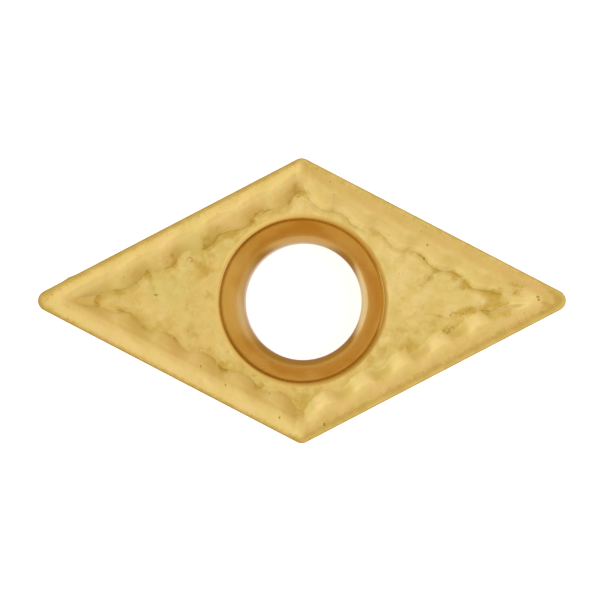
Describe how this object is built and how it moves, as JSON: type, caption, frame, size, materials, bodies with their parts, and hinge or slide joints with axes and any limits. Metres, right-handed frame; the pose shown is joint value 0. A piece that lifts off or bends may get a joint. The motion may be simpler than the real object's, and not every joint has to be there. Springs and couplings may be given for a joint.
{
  "type": "carbide turning insert",
  "caption": "Rhombic indexable turning insert with 55-degree cutting corners, scalloped chip groove, relief flanks and a countersunk screw hole.",
  "frame": {"origin": "centre of the seating face, on the axis of the screw hole", "axes": "+Z from the seating face to the cutting edges along the screw hole, +X along the long diagonal to a 55-degree cutting corner"},
  "size_m": [0.0196, 0.0106, 0.0041],
  "materials": {
    "coated_carbide": "gold-coloured titanium nitride coating on as-sintered carbide, satin metallic"
  },
  "bodies": {
    "root": {"insert_body": "coated_carbide"}
  },
  "joints": []
}
